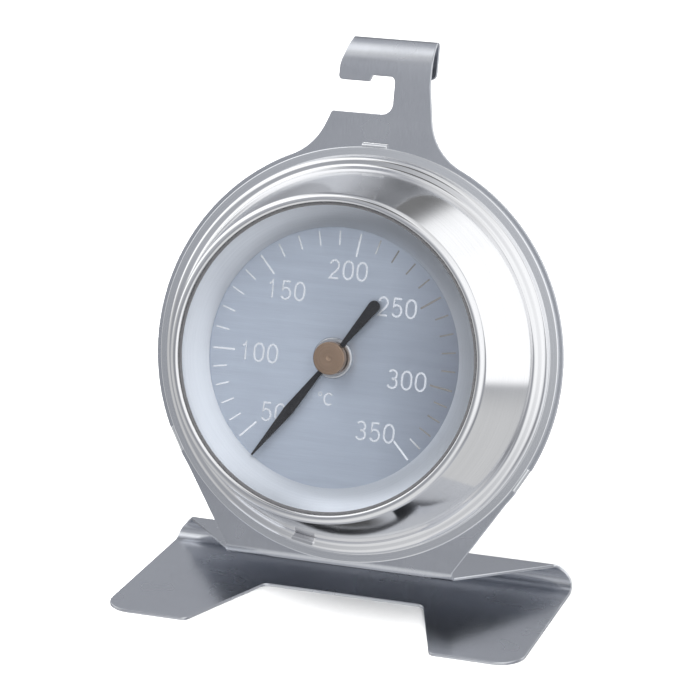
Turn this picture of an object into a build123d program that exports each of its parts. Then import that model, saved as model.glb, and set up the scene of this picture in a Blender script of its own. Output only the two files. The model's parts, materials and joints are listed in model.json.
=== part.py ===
from build123d import *
import os
from math import cos, pi, radians, sin, sqrt, tan

os.makedirs("parts", exist_ok=True)

# ---------------------------------------------------------------------------
# Driving dimensions, in millimetres and degrees.
# X runs across the object, Y from front to back and Z up. The origin is on
# the floor, under the middle of the object's box.
# ---------------------------------------------------------------------------

SHEET = 0.5               # stand sheet thickness
LEAN = 14.0               # how far the disc and the case lean back
DISC_R = 34.0             # round plate behind the case
DISC_HEIGHT = 39.65       # height of the plate's centre, on its front face
DISC_Y = 3.95             # and its distance behind the origin

# Hook: a neck above the disc with a slot open to the left and a top edge
# rolled over to the back. Heights run up the plate from the disc's centre.
NECK_RIGHT = (8.2, 43.6)  # the neck's edges widen from these points
NECK_LEFT = (7.75, 38.55)
NECK_FOOT = 31.0          # down to here, by the slants below
SLANT_RIGHT = 0.143
SLANT_LEFT = 0.4
ROOT_R_RIGHT = 9.5
ROOT_R_LEFT = 10.0
FINGER_LEFT = 7.1         # left edge of the hook above the slot
HOOK_LEFT_TOP = 5.8       # and of its rolled top
SLOT_END = 2.3
SLOT_LOW = NECK_LEFT[1]
SLOT_HIGH = 43.6
NOTCH_FOOT = -1.9         # left side of the notch, at its foot and its roof
NOTCH_TOP = -1.4
NOTCH_HIGH = 44.7
HOOK_TOP = 50.7
ROLL_LEAD_R = 6.0         # the roll starts wide and ends tight, to mid sheet
ROLL_LEAD_TURN = 45.0
ROLL_DEPTH = 3.1          # from the middle of the plate to that of the lip
LIP_END = 44.7            # lower edge of the rolled-over lip
LIP_CORNER_R = 1.0
SLOT_FLOOR_R = 1.8        # corners of the slot and the notch above its end
SLOT_ROOF_R = 1.0
NOTCH_R = 0.3
FINGER_TIP_R = 0.7
EDGE_R = 0.4

# Legs and folded base. The sheet turns back under the disc into a shelf,
# folds down round the back and comes forward along the floor as two feet.
LEG_TOP = (26.8, -20.9)   # where a straight leg leaves the disc, on the plate
LEG_FOOT_HALF = 19.2      # half the width across the legs at the front bend
SHELF_SLOPE = 6.0         # the shelf falls towards the back
SHELF_RUN = 16.8
SHELF_BACK_HALF = 31.3
FRONT_BEND_R = 1.25       # to the middle of the sheet
BACK_BEND_R = 2.2
BASE_HALF = 34.5
FOLD_SIDE_HALF = 33.6     # half width part of the way down the back fold
FOOT_FRONT = 23.4         # from the disc's centre forward
FOOT_OUTER_CORNER_R = 4.3
FOOT_INNER_CORNER = 20.2
FOOT_INNER_CORNER_R = 1.2
BRIDGE_HALF = 13.6        # middle of the base, between the feet
BRIDGE_FRONT = 4.8
BRIDGE_CORNER_R = 1.5

# Case. Heights run along the dial axis from the disc's front face.
WALL = 0.45
FLANGE_R = 33.3
STEP_R = 31.9
STEP_DRAFT = 0.1
LEDGE_TOP = 2.1
CONE_FOOT = (29.95, 2.4)
CONE_TOP = (25.55, 16.3)
LEDGE_FILLET = 1.0
CONE_FILLET = 1.0
RIM_FILLET = 1.05
LIP_R = 24.2
LIP_FILLET = 0.5
LIP_BOTTOM = 15.75
TAB_WIDTH = 4.2
TAB_R = 33.85
TAB_REACH = 3.2           # of the part folded under the disc
TAB_PLAY = 0.15
TAB_COUNT = 3
PAD_ANGLE = 260.0         # small raised pad on the ledge, anticlockwise from +x
PAD_WIDTH = 3.9
PAD_FROM_R = 30.55
PAD_TO_R = 31.25
PAD_TOP = 2.6

# Window and dial.
LENS_R = 24.9
LENS_TOP = 15.6
LENS_BOTTOM = 14.2
SEAL_R = 24.0
RING_SHEET = 0.35
RING_EDGE = 0.2
DIAL_VIEW_R = 20.1         # the part of the dial that shows
DIAL_R = 23.4
DIAL_TOP = 11.6
DIAL_SHEET = 0.4
DIAL_HOLE_R = 2.0
SUPPORT_R = 23.1
SUPPORT_FOOT_R = 25.5
SUPPORT_SHEET = 0.5

# Movement.
ARBOR_R = 0.75
RUNNING_PLAY = 0.05
FIXED_PLAY = 0.02          # round the pieces that are fixed in their holes
BUSH_R = 1.9
BUSH_FLANGE_R = 3.2
BUSH_FLANGE_TOP = 11.95
EASED_EDGE = 0.1
FRAME_TOP = 9.8
FRAME_SHEET = 0.8
FRAME_HALF_SPAN = 15.0
FRAME_FOOT_END = 19.4
FRAME_WIDTH = 6.0
FRAME_CORNER_R = 0.35
FRAME_RIVET_X = 17.4
RIVET_R = 1.1
RIVET_HEAD_R = 1.9
RIVET_HEAD = 0.7
CUP_R = 2.2                # rear pivot cup
CUP_FLANGE_R = 3.3
CUP_FLANGE_TOP = 0.6
CUP_BACK_R = 2.8
CUP_DEPTH = 0.5            # of its bore behind the disc's front face
CUP_WALL = 0.6
COIL_LOW = 2.0
COIL_WIDTH = 4.0
COIL_STRIP = 0.3
COIL_INNER_R = 2.65
COIL_PITCH = 1.55
COIL_TURNS = 5.5
COIL_POINTS_PER_TURN = 12
COLLET_MARGIN = 0.3
ANCHOR_SHEET = 0.8
ANCHOR_WIDTH = 4.6
ANCHOR_TOP = 6.6
ANCHOR_FOOT_END = 17.2
ANCHOR_RIVET_Y = -15.0
PIN_R = 0.55               # pin that holds the coil's outer end
PIN_HEAD_R = 0.95
PIN_HEAD = 0.35
CLIP_LOW = 8.45
CLIP_THICKNESS = 0.3
CLIP_R = 1.7
CLIP_GAP = 0.9
GROOVE_R = 0.5
WASHER_R = 2.1
WASHER_LOW = 12.0
POINTER_LOW = 12.15
POINTER_SHEET = 0.3
POINTER_TIP = 20.0
POINTER_TIP_HALF = 0.12
POINTER_WIDE = (0.78, 10.7)   # its widest place: half width and distance out
POINTER_WAIST = (0.33, 2.6)   # narrow on both sides of the hub
POINTER_TAIL = 11.4
POINTER_TAIL_R = 0.9
POINTER_REST = 144.8       # anticlockwise from the top of the dial
HUB_R = 2.55
HUB_TOP = 13.75
HUB_EDGE = 0.15
POINTER_EYE_R = 2.05
DIMPLE_R = 0.4             # centre mark in the hub's face
DIMPLE_DEPTH = 0.25
CAP_THICKNESS = 0.6        # of the hub over the arbor's end
VENT_R = 17.5
VENT_WIDTH = 2.4
VENT_LENGTH = 9.0
VENT_COUNT = 4

# ---------------------------------------------------------------------------
# Planes. CASE lies on the disc's front face and looks out along the dial
# axis. SECTION holds half sections: its x is a radius and its y runs along
# the dial axis. SIDE looks in from the right: x runs back, y up the plate.
# ---------------------------------------------------------------------------

LEAN_SIN = sin(radians(LEAN))
LEAN_COS = cos(radians(LEAN))
CENTRE = (0, DISC_Y, DISC_HEIGHT)
CASE = Plane(origin=CENTRE, x_dir=(1, 0, 0), z_dir=(0, -LEAN_COS, LEAN_SIN))
SECTION = Plane(origin=CENTRE, x_dir=(1, 0, 0), z_dir=(0, -LEAN_SIN, -LEAN_COS))
SIDE = Plane(origin=CENTRE, x_dir=(0, LEAN_COS, -LEAN_SIN), z_dir=(1, 0, 0))
DIAL_AXIS = Axis(CENTRE, (0, -LEAN_COS, LEAN_SIN))


def save(part, name):
    """Label a finished piece and write it to its own file."""
    part.label = name
    export_step(part, f"parts/{name}.step")


def turned(*points):
    """A piece turned about the dial axis from a straight-sided half section."""
    with BuildPart() as blank:
        with BuildSketch(SECTION):
            with BuildLine():
                Polyline(*points, close=True)
            make_face()
        revolve(axis=DIAL_AXIS)
    return blank.part


def corner(sketch, x, y, radius):
    """Round the sketch's vertex nearest to a point."""
    fillet(sketch.vertices().sort_by_distance((x, y, 0))[0], radius)


# ---------------------------------------------------------------------------
# The fold under the disc, on the middle of the sheet: (y, z) of its points
# ---------------------------------------------------------------------------

MID = SHEET / 2
SLOPE_SIN = sin(radians(SHELF_SLOPE))
SLOPE_COS = cos(radians(SHELF_SLOPE))
BEND_TURN = 90 + LEAN - SHELF_SLOPE
BEND_SETBACK = FRONT_BEND_R * tan(radians(BEND_TURN / 2))
SHELF_BACK_Z = MID + BACK_BEND_R * (1 + SLOPE_COS)
CREASE_Z = SHELF_BACK_Z + SHELF_RUN * SLOPE_SIN
SHEET_Y = DISC_Y + MID * LEAN_COS
SHEET_Z = DISC_HEIGHT - MID * LEAN_SIN
CREASE_Y = SHEET_Y + (CREASE_Z - SHEET_Z) * LEAN_SIN / LEAN_COS
SHELF_BACK_Y = CREASE_Y + SHELF_RUN * SLOPE_COS
LEG_END = (CREASE_Z - SHEET_Z) / LEAN_COS + BEND_SETBACK

# ---------------------------------------------------------------------------
# Stand: one sheet with a rolled hook, a disc, two legs and a folded base
# ---------------------------------------------------------------------------

ROLL_LEAD = radians(ROLL_LEAD_TURN)
ROLL_R = (ROLL_DEPTH - ROLL_LEAD_R * (1 - cos(ROLL_LEAD))) / (1 + cos(ROLL_LEAD))
ROLL_FOOT = HOOK_TOP - MID - ROLL_LEAD_R * sin(ROLL_LEAD) - ROLL_R * (1 - sin(ROLL_LEAD))


def leaning_plate():
    """Hook neck, disc and legs, flat, with the holes for everything on it."""
    right_foot = NECK_RIGHT[0] + SLANT_RIGHT * (NECK_RIGHT[1] - NECK_FOOT)
    left_foot = NECK_LEFT[0] + SLANT_LEFT * (NECK_LEFT[1] - NECK_FOOT)
    with BuildPart() as plate:
        with BuildSketch(CASE) as outline:
            Circle(DISC_R)
            with BuildLine():
                Polyline(
                    (-left_foot, NECK_FOOT), (right_foot, NECK_FOOT), NECK_RIGHT,
                    (NECK_RIGHT[0], ROLL_FOOT), (-FINGER_LEFT, ROLL_FOOT), (-FINGER_LEFT, SLOT_HIGH),
                    (-NECK_LEFT[0], SLOT_LOW), close=True,
                )
            make_face()
            corner(outline, right_foot, sqrt(DISC_R**2 - right_foot**2), ROOT_R_RIGHT)
            corner(outline, -left_foot, sqrt(DISC_R**2 - left_foot**2), ROOT_R_LEFT)
            with BuildLine():
                Polyline(
                    LEG_TOP, (LEG_FOOT_HALF, LEG_END), (-LEG_FOOT_HALF, LEG_END),
                    (-LEG_TOP[0], LEG_TOP[1]), close=True,
                )
            make_face()
            with BuildLine():
                Polyline(
                    (-2 * FINGER_LEFT, SLOT_LOW), (SLOT_END, SLOT_LOW), (SLOT_END, NOTCH_HIGH),
                    (NOTCH_TOP, NOTCH_HIGH), (NOTCH_FOOT, SLOT_HIGH),
                    (-2 * FINGER_LEFT, SLOT_HIGH), close=True,
                )
            make_face(mode=Mode.SUBTRACT)
            corner(outline, SLOT_END, SLOT_LOW, SLOT_FLOOR_R)
            corner(outline, SLOT_END, NOTCH_HIGH, SLOT_ROOF_R)
            corner(outline, NOTCH_TOP, NOTCH_HIGH, NOTCH_R)
            corner(outline, NOTCH_FOOT, SLOT_HIGH, NOTCH_R)
            corner(outline, -FINGER_LEFT, SLOT_HIGH, FINGER_TIP_R)
            corner(outline, -NECK_LEFT[0], SLOT_LOW, EDGE_R)
            # Slots for the case tabs: one in the neck, two in the disc's edge.
            with PolarLocations(TAB_R - WALL / 2, TAB_COUNT, start_angle=90):
                Rectangle(WALL + 2 * TAB_PLAY, TAB_WIDTH + 2 * TAB_PLAY, mode=Mode.SUBTRACT)
            # Heat vents, pivot and rivet holes.
            with PolarLocations(VENT_R, VENT_COUNT, start_angle=180 / VENT_COUNT):
                SlotOverall(VENT_LENGTH, VENT_WIDTH, rotation=90, mode=Mode.SUBTRACT)
            Circle(CUP_R + FIXED_PLAY, mode=Mode.SUBTRACT)
            with Locations((FRAME_RIVET_X, 0), (-FRAME_RIVET_X, 0), (0, ANCHOR_RIVET_Y)):
                Circle(RIVET_R + FIXED_PLAY, mode=Mode.SUBTRACT)
        extrude(amount=-SHEET)
    return plate.part


def rolled_lip():
    """Top of the hook: a wide bend, a tight one, and straight down at the back."""
    with BuildPart() as lip:
        with BuildLine(SIDE) as path:
            lead = JernArc((MID, ROLL_FOOT), (0, 1), ROLL_LEAD_R, -ROLL_LEAD_TURN)
            curl = JernArc(lead @ 1, lead % 1, ROLL_R, ROLL_LEAD_TURN - 180)
            Line(curl @ 1, (MID + ROLL_DEPTH, LIP_END))
        with BuildSketch(Plane(origin=path.line @ 0, x_dir=(1, 0, 0), z_dir=path.line % 0)):
            with Locations(((NECK_RIGHT[0] - FINGER_LEFT) / 2, 0)):
                Rectangle(NECK_RIGHT[0] + FINGER_LEFT, SHEET)
        sweep()
        # The left edge slants in along the wide bend and then stays straight.
        lead_top = ROLL_FOOT + ROLL_LEAD_R * sin(ROLL_LEAD)
        lead_depth = MID + ROLL_LEAD_R * (1 - cos(ROLL_LEAD))
        far = 2 * FINGER_LEFT
        with BuildSketch(CASE):
            with BuildLine():
                Polyline(
                    (-FINGER_LEFT, ROLL_FOOT), (-HOOK_LEFT_TOP, lead_top), (-HOOK_LEFT_TOP, far + HOOK_TOP),
                    (-far, far + HOOK_TOP), (-far, ROLL_FOOT), close=True,
                )
            make_face()
        extrude(amount=-lead_depth, mode=Mode.SUBTRACT)
        with BuildSketch(CASE.offset(-lead_depth)):
            with Locations((-HOOK_LEFT_TOP - far / 2, HOOK_TOP)):
                Rectangle(far, far)
        extrude(amount=-far, mode=Mode.SUBTRACT)
        tip = lip.edges().filter_by(Axis(CENTRE, CASE.z_dir)).group_by(Axis(CENTRE, CASE.y_dir))[0]
        fillet(tip, LIP_CORNER_R)
    return lip.part


def folded_base():
    """Front bend, shelf, back fold and floor sheet, swept and then trimmed."""
    fold_top = 2 * BACK_BEND_R + SHEET
    far = 2 * BASE_HALF
    with BuildPart() as base:
        with BuildLine(Plane.YZ) as path:
            bend_start = (SHEET_Y + LEG_END * LEAN_SIN, SHEET_Z + LEG_END * LEAN_COS)
            front_bend = JernArc(bend_start, (-LEAN_SIN, -LEAN_COS), FRONT_BEND_R, BEND_TURN)
            shelf = Line(front_bend @ 1, (SHELF_BACK_Y, SHELF_BACK_Z))
            back_fold = JernArc(shelf @ 1, shelf % 1, BACK_BEND_R, SHELF_SLOPE - 180)
            Line(back_fold @ 1, (DISC_Y - FOOT_FRONT, MID))
        with BuildSketch(Plane(origin=path.line @ 0, x_dir=(1, 0, 0), z_dir=path.line % 0)):
            Rectangle(2 * BASE_HALF, SHEET)
        sweep()
        # From above, the shelf widens from the legs to its back edge.
        for side in (1, -1):
            with BuildSketch(Plane.XY.offset(MID + BACK_BEND_R)):
                with BuildLine():
                    Polyline(
                        (side * LEG_FOOT_HALF, CREASE_Y - far), (side * LEG_FOOT_HALF, CREASE_Y + 1),
                        (side * SHELF_BACK_HALF, SHELF_BACK_Y), (side * far, SHELF_BACK_Y),
                        (side * far, CREASE_Y - far), close=True,
                    )
                make_face()
            extrude(amount=far, mode=Mode.SUBTRACT)
        # From behind, the fold goes on widening round the back to the floor.
        for side in (1, -1):
            with BuildSketch(Plane.XZ.offset(-SHELF_BACK_Y)):
                with BuildLine():
                    top = Line((side * SHELF_BACK_HALF, 2 * fold_top), (side * SHELF_BACK_HALF, fold_top))
                    side_edge = ThreePointArc(
                        top @ 1, (side * FOLD_SIDE_HALF, 0.6 * fold_top), (side * BASE_HALF, SHEET),
                    )
                    Polyline(
                        side_edge @ 1, (side * BASE_HALF, -SHEET), (side * far, -SHEET),
                        (side * far, 2 * fold_top), top @ 0,
                    )
                make_face()
            extrude(amount=-far, mode=Mode.SUBTRACT)
        # Two feet: the floor sheet is cut back between them.
        with BuildSketch() as bay:
            with BuildLine():
                Polyline(
                    (FOOT_INNER_CORNER, DISC_Y - FOOT_FRONT), (BRIDGE_HALF, DISC_Y - BRIDGE_FRONT),
                    (-BRIDGE_HALF, DISC_Y - BRIDGE_FRONT), (-FOOT_INNER_CORNER, DISC_Y - FOOT_FRONT),
                    (-FOOT_INNER_CORNER, DISC_Y - 2 * FOOT_FRONT),
                    (FOOT_INNER_CORNER, DISC_Y - 2 * FOOT_FRONT), close=True,
                )
            make_face()
            corner(bay, BRIDGE_HALF, DISC_Y - BRIDGE_FRONT, BRIDGE_CORNER_R)
            corner(bay, -BRIDGE_HALF, DISC_Y - BRIDGE_FRONT, BRIDGE_CORNER_R)
        extrude(amount=SHEET, mode=Mode.SUBTRACT)
        front = base.edges().filter_by(Axis.Z).group_by(Axis.Y)[0].sort_by(Axis.X)
        fillet(front[1:3], FOOT_INNER_CORNER_R)
        front = base.edges().filter_by(Axis.Z).group_by(Axis.Y)[0].sort_by(Axis.X)
        fillet([front[0], front[-1]], FOOT_OUTER_CORNER_R)
    return base.part


with BuildPart() as stand:
    add(leaning_plate())
    add(rolled_lip())
    add(folded_base())
save(stand.part, "stand_plate")


# ---------------------------------------------------------------------------
# Case: drawn shell with flange, ledge, tapering wall and rolled rim, held to
# the disc by three folded tabs
# ---------------------------------------------------------------------------

LEDGE_R = STEP_R - STEP_DRAFT
CONE_INSIDE = (CONE_FOOT[0] - WALL + STEP_DRAFT, CONE_FOOT[1] - WALL)

with BuildPart() as case:
    with BuildSketch(SECTION) as shell:
        with BuildLine():
            Polyline(
                (STEP_R - WALL, 0), (FLANGE_R, 0), (FLANGE_R, WALL), (STEP_R, WALL),
                (LEDGE_R, LEDGE_TOP), CONE_FOOT, CONE_TOP, (LIP_R, CONE_TOP[1]),
                (LIP_R, LIP_BOTTOM), (CONE_TOP[0] - WALL, LIP_BOTTOM), CONE_INSIDE,
                (LEDGE_R - WALL, LEDGE_TOP - WALL), close=True,
            )
        make_face()
        corner(shell, LEDGE_R, LEDGE_TOP, LEDGE_FILLET)
        corner(shell, *CONE_FOOT, CONE_FILLET)
        corner(shell, *CONE_INSIDE, CONE_FILLET + WALL)
        corner(shell, LEDGE_R - WALL, LEDGE_TOP - WALL, LEDGE_FILLET - WALL)
        corner(shell, *CONE_TOP, RIM_FILLET)
        corner(shell, LIP_R, CONE_TOP[1], LIP_FILLET)
    revolve(axis=DIAL_AXIS)
    # Each tab goes out from the flange, back through the disc, and inwards.
    leg_low = -SHEET - 2 * FIXED_PLAY - WALL
    with BuildSketch(CASE):
        with PolarLocations((FLANGE_R + TAB_R) / 2 - WALL / 2, TAB_COUNT, start_angle=90):
            Rectangle(TAB_R - FLANGE_R + WALL, TAB_WIDTH)
    extrude(amount=WALL)
    with BuildSketch(CASE.offset(leg_low)):
        with PolarLocations(TAB_R - WALL / 2, TAB_COUNT, start_angle=90):
            Rectangle(WALL, TAB_WIDTH)
    extrude(amount=WALL - leg_low)
    with BuildSketch(CASE.offset(leg_low)):
        with PolarLocations(TAB_R - TAB_REACH / 2, TAB_COUNT, start_angle=90):
            Rectangle(TAB_REACH, TAB_WIDTH)
    extrude(amount=WALL)
    with BuildSketch(CASE.offset(LEDGE_TOP - WALL / 2)):
        with PolarLocations((PAD_FROM_R + PAD_TO_R) / 2, 1, start_angle=PAD_ANGLE):
            Rectangle(PAD_TO_R - PAD_FROM_R, PAD_WIDTH)
    extrude(amount=PAD_TOP - LEDGE_TOP + WALL / 2)
save(case.part, "bezel_case")


# ---------------------------------------------------------------------------
# Window: glass, its seal, the reflector ring under it, dial and dial support
# ---------------------------------------------------------------------------

save(turned((0, LENS_BOTTOM), (LENS_R, LENS_BOTTOM), (LENS_R, LENS_TOP), (0, LENS_TOP)), "lens_glass")

save(
    turned((SEAL_R, LENS_TOP), (LENS_R, LENS_TOP), (LENS_R, LIP_BOTTOM), (SEAL_R, LIP_BOTTOM)),
    "lens_seal",
)

RING_UNDERSIDE = LENS_BOTTOM - RING_SHEET
save(
    turned(
        (DIAL_VIEW_R, DIAL_TOP), (DIAL_VIEW_R, DIAL_TOP + RING_EDGE), (LIP_R, LENS_BOTTOM),
        (LENS_R, LENS_BOTTOM), (LENS_R, RING_UNDERSIDE), (LIP_R, RING_UNDERSIDE),
        (DIAL_VIEW_R + 2 * RING_EDGE, DIAL_TOP),
    ),
    "reflector_ring",
)

DIAL_LOW = DIAL_TOP - DIAL_SHEET
save(
    turned((DIAL_HOLE_R, DIAL_LOW), (DIAL_R, DIAL_LOW), (DIAL_R, DIAL_TOP), (DIAL_HOLE_R, DIAL_TOP)),
    "dial_plate",
)

SUPPORT_INNER_R = SUPPORT_R - SUPPORT_SHEET
save(
    turned(
        (SUPPORT_INNER_R, 0), (SUPPORT_FOOT_R, 0), (SUPPORT_FOOT_R, SUPPORT_SHEET),
        (SUPPORT_R, SUPPORT_SHEET), (SUPPORT_R, DIAL_LOW), (SUPPORT_INNER_R, DIAL_LOW),
    ),
    "dial_support_ring",
)


# ---------------------------------------------------------------------------
# Movement: frame and its rivets, front bush, rear pivot cup
# ---------------------------------------------------------------------------

with BuildPart() as frame:
    with BuildSketch(SECTION.offset(-FRAME_WIDTH / 2)):
        for side in (1, -1):
            with BuildLine():
                Polyline(
                    (0, FRAME_TOP), (side * FRAME_HALF_SPAN, FRAME_TOP),
                    (side * FRAME_HALF_SPAN, FRAME_SHEET), (side * FRAME_FOOT_END, FRAME_SHEET),
                    (side * FRAME_FOOT_END, 0), (side * (FRAME_HALF_SPAN - FRAME_SHEET), 0),
                    (side * (FRAME_HALF_SPAN - FRAME_SHEET), FRAME_TOP - FRAME_SHEET),
                    (0, FRAME_TOP - FRAME_SHEET), close=True,
                )
            make_face()
    extrude(amount=FRAME_WIDTH)
    outside = frame.edges().filter_by(Axis(CENTRE, (0, LEAN_SIN, LEAN_COS)))
    fillet(outside.sort_by(DIAL_AXIS)[-2:], 2 * FRAME_CORNER_R)
    with BuildSketch(CASE):
        Circle(BUSH_R + FIXED_PLAY)
        with Locations((FRAME_RIVET_X, 0), (-FRAME_RIVET_X, 0)):
            Circle(RIVET_R + FIXED_PLAY)
    extrude(amount=2 * FRAME_TOP, mode=Mode.SUBTRACT)
save(frame.part, "movement_frame")


def rivets(spots, grip):
    """Rivets through the disc and a foot of the given thickness on it."""
    with BuildPart() as group:
        with BuildSketch(CASE.offset(-SHEET - RIVET_HEAD)):
            with Locations(*spots):
                Circle(RIVET_HEAD_R)
        extrude(amount=RIVET_HEAD)
        with BuildSketch(CASE.offset(-SHEET)):
            with Locations(*spots):
                Circle(RIVET_R)
        extrude(amount=SHEET + grip)
        with BuildSketch(CASE.offset(grip)):
            with Locations(*spots):
                Circle(RIVET_HEAD_R)
        extrude(amount=RIVET_HEAD)
        rims = group.edges().filter_by(GeomType.CIRCLE).sort_by(DIAL_AXIS)
        fillet(rims[: len(spots)] + rims[-len(spots):], 0.6 * RIVET_HEAD)
    return group.part


save(rivets([(FRAME_RIVET_X, 0), (-FRAME_RIVET_X, 0)], FRAME_SHEET), "frame_rivets")
save(rivets([(0, ANCHOR_RIVET_Y)], ANCHOR_SHEET), "anchor_rivet")

BORE_R = ARBOR_R + RUNNING_PLAY
BUSH_LOW = FRAME_TOP - FRAME_SHEET
save(
    turned(
        (BORE_R, BUSH_LOW), (BUSH_R, BUSH_LOW), (BUSH_R, DIAL_TOP), (BUSH_FLANGE_R, DIAL_TOP),
        (BUSH_FLANGE_R, BUSH_FLANGE_TOP - EASED_EDGE),
        (BUSH_FLANGE_R - EASED_EDGE, BUSH_FLANGE_TOP),
        (BORE_R, BUSH_FLANGE_TOP),
    ),
    "front_bush",
)

CUP_BACK = -SHEET - CUP_WALL
save(
    turned(
        (0, CUP_BACK), (CUP_BACK_R - EASED_EDGE, CUP_BACK), (CUP_BACK_R, CUP_BACK + EASED_EDGE),
        (CUP_BACK_R, -SHEET),
        (CUP_R, -SHEET), (CUP_R, 0), (CUP_FLANGE_R, 0), (CUP_FLANGE_R, CUP_FLANGE_TOP),
        (BORE_R, CUP_FLANGE_TOP), (BORE_R, -CUP_DEPTH), (0, -CUP_DEPTH),
    ),
    "rear_pivot_cup",
)


# ---------------------------------------------------------------------------
# Bimetal coil, the post that holds its outer end, and the pin through both
# ---------------------------------------------------------------------------

def spiral_point(turns, shift):
    """Point of the coil, wound inwards from the bottom, moved by shift."""
    angle = -pi / 2 + 2 * pi * (COIL_TURNS - turns)
    radius = COIL_INNER_R + COIL_PITCH * turns + shift
    return (radius * cos(angle), radius * sin(angle))


COIL_END_R = COIL_INNER_R + COIL_PITCH * COIL_TURNS
PIN_MIDDLE = COIL_LOW + COIL_WIDTH / 2
ANCHOR_FACE = COIL_END_R + COIL_STRIP / 2 + FIXED_PLAY
PIN_PLANE = Plane(origin=CASE.offset(PIN_MIDDLE).origin, x_dir=(1, 0, 0), z_dir=SECTION.z_dir)

with BuildPart() as coil:
    with BuildSketch(CASE.offset(COIL_LOW)):
        with BuildLine():
            steps = int(COIL_TURNS * COIL_POINTS_PER_TURN)
            turns = [COIL_TURNS * index / steps for index in range(steps + 1)]
            outside = Spline(*[spiral_point(t, COIL_STRIP / 2) for t in turns])
            inside = Spline(*[spiral_point(t, -COIL_STRIP / 2) for t in turns])
            Line(outside @ 0, inside @ 0)
            Line(outside @ 1, inside @ 1)
        make_face()
    extrude(amount=COIL_WIDTH)
    with BuildSketch(PIN_PLANE.offset(COIL_END_R - COIL_PITCH / 2)):
        Circle(PIN_R + FIXED_PLAY)
    extrude(amount=COIL_PITCH, mode=Mode.SUBTRACT)
save(coil.part, "bimetal_coil")

with BuildPart() as anchor:
    with BuildSketch(SIDE.offset(-ANCHOR_WIDTH / 2)):
        with BuildLine():
            Polyline(
                (0, -ANCHOR_FACE), (-ANCHOR_TOP, -ANCHOR_FACE), (-ANCHOR_TOP, -ANCHOR_FACE - ANCHOR_SHEET),
                (-ANCHOR_SHEET, -ANCHOR_FACE - ANCHOR_SHEET), (-ANCHOR_SHEET, -ANCHOR_FOOT_END),
                (0, -ANCHOR_FOOT_END), close=True,
            )
        make_face()
    extrude(amount=ANCHOR_WIDTH)
    with BuildSketch(CASE):
        with Locations((0, ANCHOR_RIVET_Y)):
            Circle(RIVET_R + FIXED_PLAY)
    extrude(amount=ANCHOR_SHEET, mode=Mode.SUBTRACT)
    with BuildSketch(PIN_PLANE.offset(COIL_END_R)):
        Circle(PIN_R + FIXED_PLAY)
    extrude(amount=2 * ANCHOR_SHEET, mode=Mode.SUBTRACT)
save(anchor.part, "coil_anchor")

with BuildPart() as pin:
    inner_face = COIL_END_R - COIL_STRIP / 2 - 2 * FIXED_PLAY
    outer_face = ANCHOR_FACE + ANCHOR_SHEET + FIXED_PLAY
    with BuildSketch(PIN_PLANE.offset(inner_face - PIN_HEAD)):
        Circle(PIN_HEAD_R)
    extrude(amount=PIN_HEAD)
    with BuildSketch(PIN_PLANE.offset(inner_face)):
        Circle(PIN_R)
    extrude(amount=outer_face - inner_face)
    with BuildSketch(PIN_PLANE.offset(outer_face)):
        Circle(PIN_HEAD_R)
    extrude(amount=PIN_HEAD)
save(pin.part, "coil_end_pin")


# ---------------------------------------------------------------------------
# Turning set: arbor, coil collet, clip, thrust washer, pointer and hub
# ---------------------------------------------------------------------------

CLIP_TOP = CLIP_LOW + CLIP_THICKNESS
SEAT_R = ARBOR_R + FIXED_PLAY
POINTER_TOP = POINTER_LOW + POINTER_SHEET
ARBOR_TOP = HUB_TOP - CAP_THICKNESS

save(
    turned(
        (0, -CUP_DEPTH + RUNNING_PLAY), (ARBOR_R, -CUP_DEPTH + RUNNING_PLAY),
        (ARBOR_R, CLIP_LOW - FIXED_PLAY), (GROOVE_R, CLIP_LOW - FIXED_PLAY),
        (GROOVE_R, CLIP_TOP + FIXED_PLAY), (ARBOR_R, CLIP_TOP + FIXED_PLAY),
        (ARBOR_R, ARBOR_TOP - EASED_EDGE), (ARBOR_R - EASED_EDGE, ARBOR_TOP), (0, ARBOR_TOP),
    ),
    "arbor",
)

COLLET_R = COIL_INNER_R - COIL_STRIP / 2 - FIXED_PLAY
COLLET_LOW = COIL_LOW - COLLET_MARGIN
COLLET_TOP = COIL_LOW + COIL_WIDTH + COLLET_MARGIN
save(
    turned((SEAT_R, COLLET_LOW), (COLLET_R, COLLET_LOW), (COLLET_R, COLLET_TOP), (SEAT_R, COLLET_TOP)),
    "coil_collet",
)

with BuildPart() as clip:
    with BuildSketch(CASE.offset(CLIP_LOW)):
        Circle(CLIP_R)
        Circle(GROOVE_R + FIXED_PLAY, mode=Mode.SUBTRACT)
        with Locations((0, CLIP_R)):
            Rectangle(CLIP_GAP, 2 * CLIP_R, mode=Mode.SUBTRACT)
    extrude(amount=CLIP_THICKNESS)
save(clip.part, "retaining_clip")

save(
    turned((SEAT_R, WASHER_LOW), (WASHER_R, WASHER_LOW), (WASHER_R, POINTER_LOW), (SEAT_R, POINTER_LOW)),
    "thrust_washer",
)

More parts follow.
